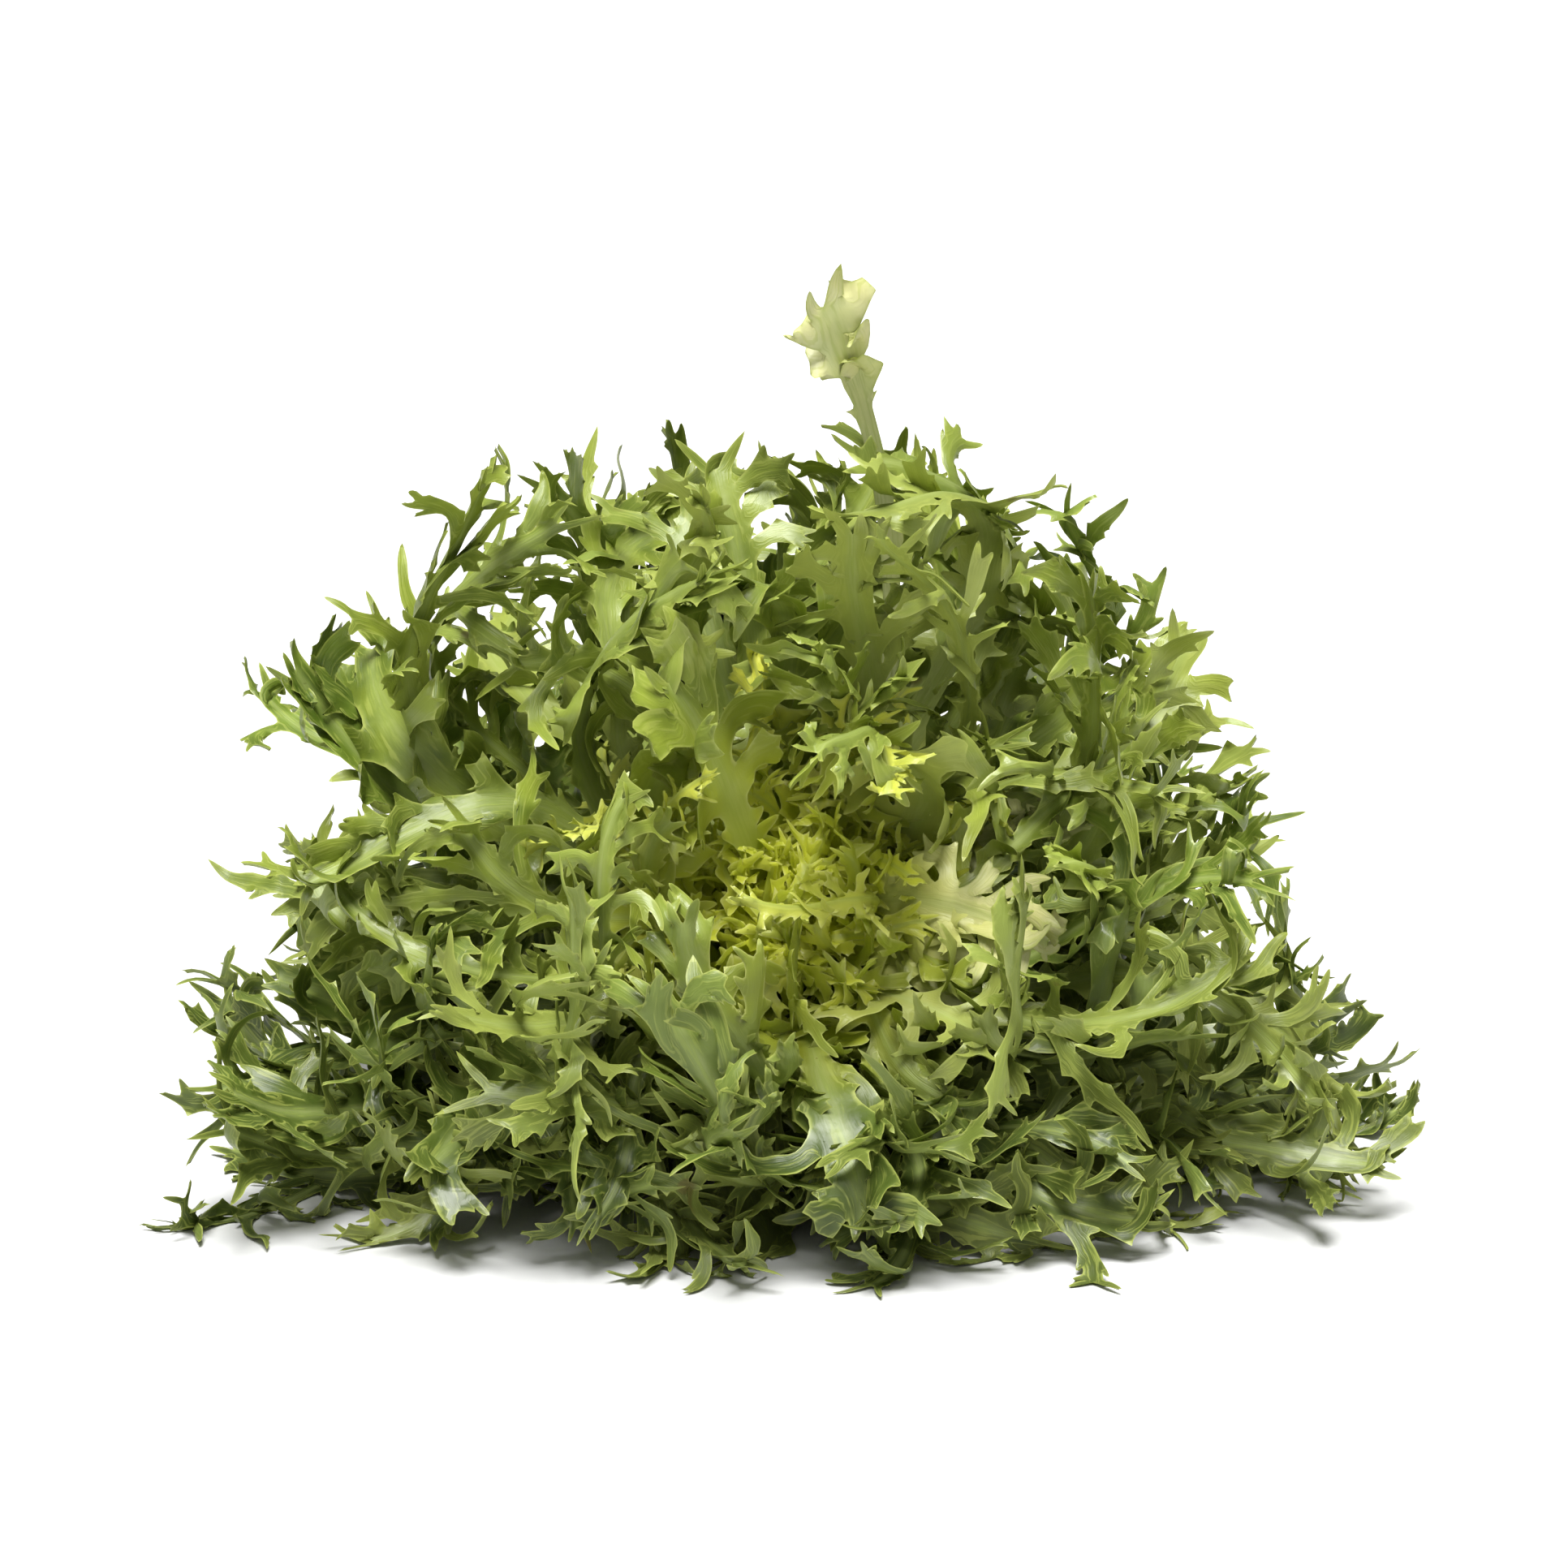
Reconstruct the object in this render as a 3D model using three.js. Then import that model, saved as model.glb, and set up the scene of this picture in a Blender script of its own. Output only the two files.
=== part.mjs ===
// A head of curly endive, standing on its cut stem with the heart leaning towards the front (-Y).
// Every leaf grows from the crown, a small dome at the top of the stem, and is its own solid.
// Millimetres, +Z up, the table at Z = 0, the origin under the middle of the head.
//
// The leaves lie in tiers around the heart's axis. A point of a leaf is found from its distance
// to the crown, its azimuth round the axis and its tier. Tier 1 runs along the table on every
// side and tier 0 is the axis itself, so the tiers open like nested bowls and never cross.
import * as THREE from "three";

const CROWN_HEIGHT = 36;
const CROWN_RADIUS = 16;
const STEM_SIDES = 24;
const HEART_LEAN = THREE.MathUtils.degToRad(45);
const LEAF_START = CROWN_RADIUS + 1.2;
const TABLE_GAP = 0.9;

// How far leaves reach: the heart is a hollow in the middle of the head.
const HEART_REACH = 80;
const RIM_REACH = 158;
const HOLLOW_FROM = THREE.MathUtils.degToRad(8);
const HOLLOW_TO = THREE.MathUtils.degToRad(58);
const REACH_SPREAD = 5;

// Where the head is fuller or flatter than a ball: towards (across, back, up), over how many
// degrees, and by how much.
const LUMPS = [
  { towards: [0, -1, -0.2], over: 75, longer: -38 },
  { towards: [-0.68, -0.72, -0.3], over: 34, longer: -58 },
  { towards: [-0.93, -0.35, -0.15], over: 24, longer: 10 },
  { towards: [0.5, -0.85, -0.25], over: 26, longer: -26 },
  { towards: [0.72, -0.65, -0.3], over: 22, longer: -20 },
  { towards: [1, 0, 0.5], over: 36, longer: -70 },
  { towards: [1, 0, 0.1], over: 18, longer: -12 },
  { towards: [-0.96, -0.18, 0.22], over: 25, longer: -54 },
  { towards: [-1, 0, 0.5], over: 22, longer: -12 },
  { towards: [-1, 0, -0.25], over: 26, longer: 16 },
  { towards: [1, 0, -0.2], over: 30, longer: 8 },
  { towards: [-0.5, 0, 0.85], over: 50, longer: 12 },
  { towards: [-0.75, 0, 0.66], over: 22, longer: 22 },
];

// Leaves start more upright and arch outwards, over this distance from the crown.
const OPEN_AT_CROWN = 0.6;
const OPEN_OVER = 70;
const UPRIGHT_AT_CROWN = 1.15;
const ARCHED_AT_TIP = 0.85;

const MIDRIB_THICK = 2.2;
const BASE_THICK = 1.4;
const TIP_THICK = 1.1;
const LOBE_DEPTH = 0.5;
const WIDEST_AT_BASE = THREE.MathUtils.degToRad(15);
const WIDEST_SHARE = 0.43; // of the angle between two leaves of a tier

// From the table inwards: how open a tier is, its leaves, their half width and number of lobes.
const TIERS = [
  { name: "table_leaf", open: 1.0, count: 10, turn: 18, halfWidth: 26, lobes: 8, paint: "outer_leaf" },
  { name: "outer_leaf", open: 0.85, count: 10, turn: 0, halfWidth: 27, lobes: 8, paint: "outer_leaf" },
  { name: "skirt_leaf", open: 0.7, count: 10, turn: 14, halfWidth: 26, lobes: 8, paint: "outer_leaf" },
  { name: "rim_leaf", open: 0.55, count: 9, turn: 33, halfWidth: 25, lobes: 7, paint: "outer_leaf" },
  { name: "middle_leaf", open: 0.4, count: 8, turn: 30, halfWidth: 21, lobes: 7, paint: "inner_leaf" },
  { name: "inner_leaf", open: 0.26, count: 6, turn: 52, halfWidth: 16, lobes: 6, paint: "inner_leaf" },
  { name: "heart_leaf", open: 0.14, count: 5, turn: 10, halfWidth: 11, lobes: 4, paint: "heart_leaf" },
];

// Leaves with a reach of their own from the crown, and how far they stand aside at their foot and
// turn on the way, in degrees round the heart's axis. The first stands high out of the mound.
const STRAYS = {
  inner_leaf_3: { reach: 188, aside: -21, sway: 25 },
  middle_leaf_3: { reach: 152, aside: 8, sway: -18 },
  table_leaf_3: { reach: 168, aside: 0, sway: 0 },
  table_leaf_8: { reach: 168, aside: 0, sway: 0 },
  middle_leaf_6: { reach: 130, aside: 0, sway: 0 },
};

const PAINTS = {
  outer_leaf: { color: 0x6f7e35, roughness: 0.45 },
  inner_leaf: { color: 0x86943f, roughness: 0.45 },
  heart_leaf: { color: 0xa8ac45, roughness: 0.5 },
  stem: { color: 0xd9d8ae, roughness: 0.6 },
};
const materials = Object.fromEntries(
  Object.entries(PAINTS).map(([slot, look]) => [
    slot,
    new THREE.MeshStandardMaterial({ ...look, metalness: 0, name: slot }),
  ]),
);

const crown = new THREE.Vector3(0, 0, CROWN_HEIGHT);
const heartAxis = new THREE.Vector3(0, -Math.sin(HEART_LEAN), Math.cos(HEART_LEAN));
const acrossAxis = new THREE.Vector3(1, 0, 0);
const downAxis = new THREE.Vector3(0, -Math.cos(HEART_LEAN), -Math.sin(HEART_LEAN));

// A repeatable number from -1 to 1.
const wobble = (seed) => {
  const x = Math.sin(seed * 12.9898 + 4.137) * 43758.5453;
  return 2 * (x - Math.floor(x)) - 1;
};

const smooth = (from, to, x) => THREE.MathUtils.smoothstep(x, from, to);

// The widest angle from the heart's axis that stays above the table.
const tableAngle = (distance, azimuth) => {
  const rise = heartAxis.z;
  const drop = Math.cos(azimuth) * downAxis.z;
  const slope = Math.hypot(rise, drop);
  const x = (CROWN_HEIGHT - TABLE_GAP) / (slope * distance);
  return Math.atan2(drop, rise) + Math.acos(-x / Math.pow(1 + x ** 4, 0.25));
};

const leafAngle = (open, distance, azimuth) => {
  const away = smooth(0, OPEN_OVER, distance - LEAF_START);
  const opening = OPEN_AT_CROWN + (1 - OPEN_AT_CROWN) * away;
  const arch = UPRIGHT_AT_CROWN + (ARCHED_AT_TIP - UPRIGHT_AT_CROWN) * away;
  return open ** arch * opening * tableAngle(distance, azimuth);
};

// The point at a distance from the crown, an azimuth and an angle from the heart's axis.
const pointAt = (distance, azimuth, angle) => {
  const out = Math.sin(angle) * distance;
  const point = crown
    .clone()
    .addScaledVector(heartAxis, Math.cos(angle) * distance)
    .addScaledVector(acrossAxis, Math.sin(azimuth) * out)
    .addScaledVector(downAxis, Math.cos(azimuth) * out);
  point.z = Math.max(point.z, 0); // the underside is flat where it lies on the table
  return point;
};

// A leaf is a lens-shaped strip along its midrib, whose edges go in and out with its lobes.
const leafGeometry = (leaf) => {
  const steps = 2 * leaf.lobes;
  const positions = [];
  for (let k = 0; k <= steps; k++) {
    const along = k / steps;
    const distance = LEAF_START + (leaf.reach - LEAF_START) * along;
    const azimuth = leaf.azimuth + leaf.sway * along * along;
    const body = 0.2 + 0.8 * smooth(0.1, 0.65, along);
    const tip = Math.sqrt(Math.max(0.02, 1 - along ** 6));
    const lobe = k % 2 ? 1 : 1 - LOBE_DEPTH * smooth(0, 0.3, along);
    const spread = Math.sin(leafAngle(leaf.open, distance, azimuth)) * distance;
    const widest = WIDEST_AT_BASE + (leaf.widest - WIDEST_AT_BASE) * smooth(0, 0.3, along);
    const half = Math.min((leaf.halfWidth * tip) / spread, widest) * body * lobe;
    const fleshy = BASE_THICK + (MIDRIB_THICK - BASE_THICK) * smooth(0, 0.15, along);
    const thick = fleshy + (TIP_THICK - MIDRIB_THICK) * smooth(0.3, 1, along);
    const lean = thick / 2 / distance;
    const angle = (turn) => leafAngle(leaf.open, distance, azimuth + turn);
    positions.push(
      pointAt(distance, azimuth - half, angle(-half)),
      pointAt(distance, azimuth, angle(0) - lean),
      pointAt(distance, azimuth + half, angle(half)),
      pointAt(distance, azimuth, angle(0) + lean),
    );
  }
  const faces = [];
  const RING = 4;
  for (let k = 0; k < steps; k++) {
    for (let i = 0; i < RING; i++) {
      const a = k * RING + i;
      const b = k * RING + ((i + 1) % RING);
      faces.push(a, b + RING, b, a, a + RING, b + RING);
    }
  }
  const last = steps * RING;
  faces.push(0, 1, 2, 0, 2, 3);
  faces.push(last, last + 2, last + 1, last, last + 3, last + 2);
  const geometry = new THREE.BufferGeometry().setFromPoints(positions);
  geometry.setIndex(faces);
  geometry.computeVertexNormals();
  return geometry;
};

// How far a leaf reaches: short in the heart, and then by the lumps of the head.
const fullReach = (open, azimuth) => {
  const angle = leafAngle(open, RIM_REACH, azimuth);
  const tip = pointAt(RIM_REACH, azimuth, angle).sub(crown);
  const rim = LUMPS.reduce((reach, lump) => {
    const away = tip.angleTo(new THREE.Vector3(...lump.towards));
    return reach + lump.longer * (1 - smooth(0, THREE.MathUtils.degToRad(lump.over), away));
  }, RIM_REACH);
  return HEART_REACH + (rim - HEART_REACH) * smooth(HOLLOW_FROM, HOLLOW_TO, angle);
};

const makeLeaf = (tier, number, seed) => {
  const name = `${tier.name}_${number}`;
  const stray = STRAYS[name];
  const turn = tier.turn + ((number - 1) * 360) / tier.count + 2 * wobble(seed);
  const azimuth = THREE.MathUtils.degToRad(turn + (stray ? stray.aside : 0));
  const leaf = new THREE.Mesh(
    leafGeometry({
      open: tier.open,
      halfWidth: tier.halfWidth,
      widest: (WIDEST_SHARE * 2 * Math.PI) / tier.count,
      lobes: tier.lobes,
      azimuth,
      reach: stray ? stray.reach : fullReach(tier.open, azimuth) + REACH_SPREAD * wobble(seed + 0.3),
      sway: THREE.MathUtils.degToRad(stray ? stray.sway : 2 * wobble(seed + 0.6)),
    }),
    materials[tier.paint],
  );
  leaf.name = name;
  return leaf;
};

// The stem: a flat cut face on the table, a slight waist and the dome that the leaves grow from.
const makeStem = () => {
  const profile = [
    [0, 0],
    [13.4, 0],
    [14.6, 1],
    [13.9, 10],
    [12.8, 19],
  ].map(([r, z]) => new THREE.Vector2(r, z));
  const DOME_STEPS = 9;
  const DOME_FROM = THREE.MathUtils.degToRad(125);
  for (let k = 0; k <= DOME_STEPS; k++) {
    const angle = DOME_FROM * (1 - k / DOME_STEPS);
    const radius = k === DOME_STEPS ? 0 : CROWN_RADIUS * Math.sin(angle);
    profile.push(new THREE.Vector2(radius, CROWN_HEIGHT + CROWN_RADIUS * Math.cos(angle)));
  }
  const geometry = new THREE.LatheGeometry(profile, STEM_SIDES);
  geometry.rotateX(Math.PI / 2); // the lathe turns about Y, the stem stands along Z
  const stem = new THREE.Mesh(geometry, materials.stem);
  stem.name = "cut_stem";
  return stem;
};

const head = new THREE.Group();
head.name = "curly_endive_head";
head.add(makeStem());
TIERS.forEach((tier, t) => {
  for (let number = 1; number <= tier.count; number++) {
    head.add(makeLeaf(tier, number, 31 * t + number));
  }
});

// The origin is under the middle of the whole head.
const middle = new THREE.Box3().setFromObject(head, true).getCenter(new THREE.Vector3());
head.position.set(-middle.x, -middle.y, 0);

export default head;
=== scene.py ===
"""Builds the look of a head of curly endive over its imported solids, with its stage and camera.

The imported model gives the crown, the dome on top of the stem that every leaf grows from. Each leaf
is grown here as a flat sheet of quads: a midrib with lobes, fingers and teeth along its sides. The
sheet is smoothed by subdivision and then given its thickness, so each leaf is one closed skin.
Lengths of leaves are in millimetres while they grow, and their meshes are in metres.
"""

import math
from random import Random

import bpy
import numpy as np
from bpy.props import FloatProperty, FloatVectorProperty, PointerProperty
from bpy.types import Operator, Panel, PropertyGroup
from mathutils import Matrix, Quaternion, Vector, noise


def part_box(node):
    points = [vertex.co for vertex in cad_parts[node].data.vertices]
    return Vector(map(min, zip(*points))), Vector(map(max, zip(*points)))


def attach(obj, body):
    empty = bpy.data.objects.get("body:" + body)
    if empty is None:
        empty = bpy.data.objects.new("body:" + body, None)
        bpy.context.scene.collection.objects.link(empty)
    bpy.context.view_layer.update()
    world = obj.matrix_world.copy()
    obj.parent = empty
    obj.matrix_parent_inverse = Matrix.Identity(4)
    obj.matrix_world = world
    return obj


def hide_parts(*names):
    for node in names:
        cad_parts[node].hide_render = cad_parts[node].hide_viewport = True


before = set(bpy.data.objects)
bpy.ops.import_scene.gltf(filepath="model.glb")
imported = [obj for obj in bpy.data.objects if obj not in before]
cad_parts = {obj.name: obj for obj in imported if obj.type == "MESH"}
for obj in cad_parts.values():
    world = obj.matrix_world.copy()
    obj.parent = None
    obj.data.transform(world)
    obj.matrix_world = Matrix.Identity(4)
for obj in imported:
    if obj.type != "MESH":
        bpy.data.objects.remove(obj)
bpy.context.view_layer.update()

bl_info = {
    "name": "Curly Endive Head",
    "version": (1, 0, 0),
    "blender": (4, 5, 0),
    "location": "3D View > Sidebar > Endive",
    "description": "Grows the frilled leaves and the cut stem of a head of curly endive",
    "category": "Add Mesh",
}

MM = 0.001
BODY = "root"
STEM = "cut_stem"

# The crown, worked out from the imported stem: the dome has this radius and its top is the stem's.
CROWN_RADIUS = 16.0
STEM_LOW, STEM_HIGH = (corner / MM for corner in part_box(STEM))
CROWN = Vector(
    ((STEM_LOW.x + STEM_HIGH.x) / 2, (STEM_LOW.y + STEM_HIGH.y) / 2, STEM_HIGH.z - CROWN_RADIUS)
)

# How the leaves lie round the heart's axis, as in the solids.
HEART_LEAN = math.radians(45)
HEART_AXIS = Vector((0, -math.sin(HEART_LEAN), math.cos(HEART_LEAN)))
ACROSS_AXIS = Vector((1, 0, 0))
DOWN_AXIS = Vector((0, -math.cos(HEART_LEAN), -math.sin(HEART_LEAN)))
LEAF_START = CROWN_RADIUS - 1.5
TABLE_GAP = 3.0
HEART_DEPTH = 52  # the blanched heart's middle, from the crown
HEART_REACH = 80
RIM_REACH = 158
HOLLOW_FROM, HOLLOW_TO = math.radians(8), math.radians(58)
# Where the head is fuller or flatter than a ball: towards (across, back, up), over how many degrees
# and by how much.
LUMPS = (
    ((0.0, -1.0, -0.2), 75, -38),
    ((-0.68, -0.72, -0.3), 34, -58),
    ((-0.93, -0.35, -0.15), 24, 10),
    ((0.5, -0.85, -0.25), 26, -26),
    ((0.72, -0.65, -0.3), 22, -20),
    ((1.0, 0.0, 0.5), 36, -70),
    ((1.0, 0.0, 0.1), 18, -12),
    ((-0.96, -0.18, 0.22), 25, -54),
    ((-1.0, 0.0, 0.5), 22, -12),
    ((-1.0, 0.0, -0.25), 26, 16),
    ((1.0, 0.0, -0.2), 30, 8),
    ((-0.5, 0.0, 0.85), 50, 12),
    ((-0.75, 0.0, 0.66), 22, 22),
)
BEND_ROOM = 36  # how far a leaf that bends may pass the outline
OPEN_AT_CROWN, OPEN_OVER = 0.6, 70
UPRIGHT_AT_CROWN, ARCHED_AT_TIP = 1.15, 0.85


def blend(low, high, x):
    """A smooth step from 0 at low to 1 at high."""
    share = min(1.0, max(0.0, (x - low) / (high - low)))
    return share * share * (3 - 2 * share)


def mix(start, end, share):
    """The value that lies that share of the way from start to end."""
    return start + (end - start) * share


def wobble(seed):
    """A repeatable number from -1 to 1."""
    x = math.sin(seed * 12.9898 + 4.137) * 43758.5453
    return 2 * (x - math.floor(x)) - 1


def table_angle(distance, azimuth):
    """The widest angle from the heart's axis that stays above the table."""
    rise = HEART_AXIS.z
    drop = math.cos(azimuth) * DOWN_AXIS.z
    slope = math.hypot(rise, drop)
    x = (CROWN.z - TABLE_GAP) / (slope * distance)
    return math.atan2(drop, rise) + math.acos(-x / (1 + x**4) ** 0.25)


def leaf_angle(open_share, distance, azimuth):
    """The angle from the heart's axis at which a leaf of that openness lies."""
    away = blend(0, OPEN_OVER, distance - CROWN_RADIUS)
    opening = mix(OPEN_AT_CROWN, 1, away)
    arch = mix(UPRIGHT_AT_CROWN, ARCHED_AT_TIP, away)
    return open_share**arch * opening * table_angle(distance, azimuth)


def spine_point(open_share, distance, azimuth):
    """A point of a midrib, from its distance to the crown."""
    angle = leaf_angle(open_share, distance, azimuth)
    out = math.sin(angle) * distance
    return (
        CROWN
        + HEART_AXIS * (math.cos(angle) * distance)
        + ACROSS_AXIS * (math.sin(azimuth) * out)
        + DOWN_AXIS * (math.cos(azimuth) * out)
    )


# --- Leaves ---------------------------------------------------------------------------------

# How a leaf of each kind is cut, in millimetres, radians and shares. A spread is the most that
# chance adds to either side. A kind may be another one with values of its own.
ANTLER = {
    "row": 3.8,  # between two rows of points on the midrib
    "bare": 0.2,  # share of the leaf that is a plain stalk
    "teeth": 0.5,  # chance of a tooth beside each row of the stalk
    "fan_from": 0.42,  # share of the leaf where its spines give way to lobes
    "rib": 3.0,  # half width of the stalk at its foot
    "slim": 0.42,  # share of that width that the midrib keeps to its tip
    "wing": 1.4,  # half width of the blade beside the midrib
    "wing_from": 0.35,  # share of the leaf where that blade starts
    "wing_full": 0.75,  # and where it is that wide
    "pitch": 3.8,  # between two rows of points on a lobe
    "gap": 1.2,  # rows between two lobes
    "length": 30,  # of a full lobe
    "neck": 1.35,  # half width of a lobe where it leaves the midrib
    "hand": 1.85,  # half width of a lobe at its broad end
    "broad": 0.2,  # share of lobes that are as broad as two rows
    "fingers": 0.5,  # chance of a side finger at each row of a lobe
    "forked": 0.3,  # chance that a lobe ends in two points
    "finger": 4.2,  # length of a side finger
    "sweep": 0.85,  # angle of the lobes from the midrib
    "lift": 0.1,  # angle of the lobes out of the blade's plane
    "lift_spread": 0.7,
    "curl": 0.35,  # angle by which a lobe rolls up towards its end
    "curl_spread": 1.6,
    "twist_spread": 1.2,
}
FAN = dict(
    ANTLER, fan_from=0.46, wing=2.8, length=24, neck=1.7, hand=2.6, broad=0.5, forked=0.6,
    finger=4.0, lift_spread=0.5, curl_spread=1.1, twist_spread=0.8
)
BLADE = dict(
    FAN, wing=5.0, length=22, neck=2.4, hand=4.0, broad=1.0, finger=5.0, lift_spread=0.35,
    curl_spread=0.9, twist_spread=0.6
)
WALL = dict(
    FAN, bare=0.45, teeth=0.35, fan_from=0.58, rib=3.2, slim=0.7, wing=1.8, length=27
)
SPINY = dict(
    ANTLER, fan_from=0.55, rib=2.8, wing=1.0, length=20, neck=1.3, hand=1.9, broad=0.0, finger=4.0
)
FINE = dict(
    ANTLER, row=3.4, bare=0.15, fan_from=0.34, rib=2.6, wing=1.2, pitch=3.1, length=19, neck=1.2,
    hand=2.0, finger=3.8, curl_spread=1.7
)
HEART = dict(
    ANTLER, row=2.4, bare=0.25, fan_from=0.4, rib=1.8, slim=0.6, wing=0.4, pitch=2.5, gap=1,
    length=11, neck=0.7, hand=1.1, broad=0.0, forked=0.35, finger=3.0, lift_spread=0.9
)
HEART_FAN = dict(
    HEART, bare=0.4, fan_from=0.5, rib=2.4, wing=2.5, pitch=3.2, gap=0.4, length=15, neck=1.6,
    hand=2.6, broad=0.7, finger=3.6, lift_spread=0.3, curl_spread=0.7, twist_spread=0.4
)
PALE_FAN = dict(
    BLADE, bare=0.5, teeth=0.2, fan_from=0.68, rib=2.6, slim=0.9, wing=2.4, gap=0.5, length=26,
    neck=3.0, hand=5.2
)
FILL = dict(
    ANTLER, row=5.0, bare=0.3, fan_from=0.35, wing=5.5, pitch=5.0, gap=1, length=18, hand=4.5,
    broad=1.0, fingers=0.4
)
STRAY = dict(
    BLADE, bare=0.84, teeth=0.12, fan_from=0.86, rib=2.3, slim=1.0, wing=6.5, gap=0, length=18,
    neck=3.0, hand=4.6, forked=0.8, curl_spread=1.2, wing_from=0.86, wing_full=0.97, finger=3.6
)
OUTER_CUTS = (ANTLER, ANTLER, FAN, ANTLER, SPINY, FAN, ANTLER)
WALL_CUTS = (WALL, WALL, ANTLER, FAN)
INNER_CUTS = (FINE, FINE, ANTLER)
HEART_CUTS = (HEART,)
FILL_CUTS = (FILL,)

# The circles of leaves that stand for the solids: how open, how many, turned by, cuts and slot.
TIERS = {
    "table_leaf": (1.0, 10, 18, OUTER_CUTS, "outer_leaf"),
    "outer_leaf": (0.85, 10, 0, OUTER_CUTS, "outer_leaf"),
    "skirt_leaf": (0.7, 10, 14, OUTER_CUTS, "outer_leaf"),
    "rim_leaf": (0.55, 9, 33, OUTER_CUTS, "outer_leaf"),
    "middle_leaf": (0.4, 8, 30, INNER_CUTS, "inner_leaf"),
    "inner_leaf": (0.26, 6, 52, INNER_CUTS, "inner_leaf"),
    "heart_leaf": (0.14, 5, 10, HEART_CUTS, "heart_leaf"),
}
# Leaves between those of the solids. Their directions follow a spiral round the heart's axis, out
# to an angle: how many turns of it, how wide, its first turn, and the share of the reach they have.
SPIRALS = {
    "frill": (174, math.radians(146), 0.0, 0.98),
    "fill": (70, math.radians(144), 2.0, 0.82),
}
GOLDEN_ANGLE = math.pi * (3 - math.sqrt(5))
OPEN_OUTER, OPEN_INNER, OPEN_LAST = 0.45, 0.15, 1.06  # how open the outer and the inner leaves are
OPEN_LOW = 0.88  # leaves that lie on the table curl up at their tips
WALL_FROM = -0.2  # the cosine of the azimuth beyond which an inner leaf is part of the wall behind
# Behind this cosine of the azimuth, one in so many of the outer frills is left out.
BEHIND, THINNED_BEHIND = -0.3, 5
# The fringes of the heart lie across it, from its left and its right side.
HEART_FRILLS = 34
HEART_FRILL_OPEN = (0.02, 0.2)
HEART_FRILL_SPREAD = math.radians(50)
# Leaves with a reach of their own, and how far they stand aside at their foot and turn on the way,
# in degrees. The first stands high out of the mound, and those of the table lie flat.
STRAYS = {
    "inner_leaf_3": (188, -21, 25),
    "middle_leaf_3": (152, 8, -18),
    "table_leaf_3": (168, 0, 0),
    "table_leaf_8": (168, 0, 0),
    "middle_leaf_6": (130, 0, 0),
}
STRAY_LEAF = "inner_leaf_3"
STRAY_DROOP, FLAT_DROOP = -0.3, -0.15
# Each group of leaves has its own run of seeds.
TIER_SEEDS, SPIRAL_SEEDS, HEART_SEEDS, SHOW_SEEDS = 31, 1000, 5000, 9000
# Broad and pale leaves that lie on top of the others: how open at the foot and at the tip, the
# azimuth and the sway in degrees, the reach, and how far the tip bends over and the blade rolls.
SHOW_LEAVES = {
    "left_fan": (0.48, 0.34, -112, 0, 156, 0.5, 0.2, BLADE, "outer_leaf"),
    "front_blade": (0.40, 0.60, 17, -10, 118, 0.9, 0.0, BLADE, "outer_leaf"),
    "pale_fan": (0.01, 0.10, -136, 8, 124, 0.0, 0.2, PALE_FAN, "inner_leaf"),
    "heart_fan": (0.12, 0.22, 80, 4, 96, 1.1, 0.3, HEART_FAN, "pale_leaf"),
    "heart_side": (0.24, 0.31, 107, 0, 98, 0.3, 0.0, HEART_FAN, "pale_leaf"),
    "heart_curl": (0.12, 0.2, 66, 10, 76, 1.0, 0.0, HEART_FAN, "pale_leaf"),
    "left_antler": (0.42, 0.42, -60, 2, 142, 0.3, 0.0, ANTLER, "outer_leaf"),
    "right_drop": (0.44, 0.61, 97, -16, 142, 1.3, 0.2, SPINY, "outer_leaf"),
    "right_reach": (0.80, 0.86, 71, 0, 166, 0.2, 0.0, FAN, "outer_leaf"),
    "left_tongue": (0.66, 0.72, -54, 2, 132, 0.3, 0.0, BLADE, "outer_leaf"),
    "left_corner": (0.82, 0.80, -72, 0, 160, -0.3, 0.2, FAN, "outer_leaf"),
    "left_low": (0.90, 0.88, -66, -2, 160, -0.2, -0.2, ANTLER, "outer_leaf"),
    "left_high": (0.74, 0.72, -80, 3, 158, 0.3, 0.2, ANTLER, "outer_leaf"),
    "stalk_cover": (0.20, 0.20, 153, 4, 146, -0.5, 0.0, WALL, "inner_leaf"),
    "stalk_hook": (0.16, 0.17, 150, 6, 126, -0.9, 0.2, FINE, "inner_leaf"),
    "top_fan": (0.31, 0.30, -174, 4, 148, 0.7, 0.1, FAN, "outer_leaf"),
    "top_left": (0.27, 0.26, -168, -6, 146, 0.6, -0.2, WALL, "inner_leaf"),
    "screen_top": (0.60, 0.58, -170, 3, 140, 0.0, 0.0, FILL, "outer_leaf"),
    "screen_left": (0.67, 0.65, -87, 0, 136, 0.2, 0.0, FILL, "outer_leaf"),
    "screen_wall": (0.52, 0.50, -113, 0, 128, 0.3, 0.0, FILL, "outer_leaf"),
    "top_hook": (0.24, 0.23, 129, 20, 150, -0.9, 0.0, SPINY, "inner_leaf"),
    "wall_curve": (0.14, 0.12, 150, 4, 128, -1.3, 0.2, FINE, "inner_leaf"),
}


# Below this height a leaf's points are eased up, so that none ends under the least height.
SOFT_HEIGHT = 20.0
SOFT_FLOOR = 0.8
SOFTNESS = 2.0
LEAST_HEIGHT = 0.35


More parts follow.
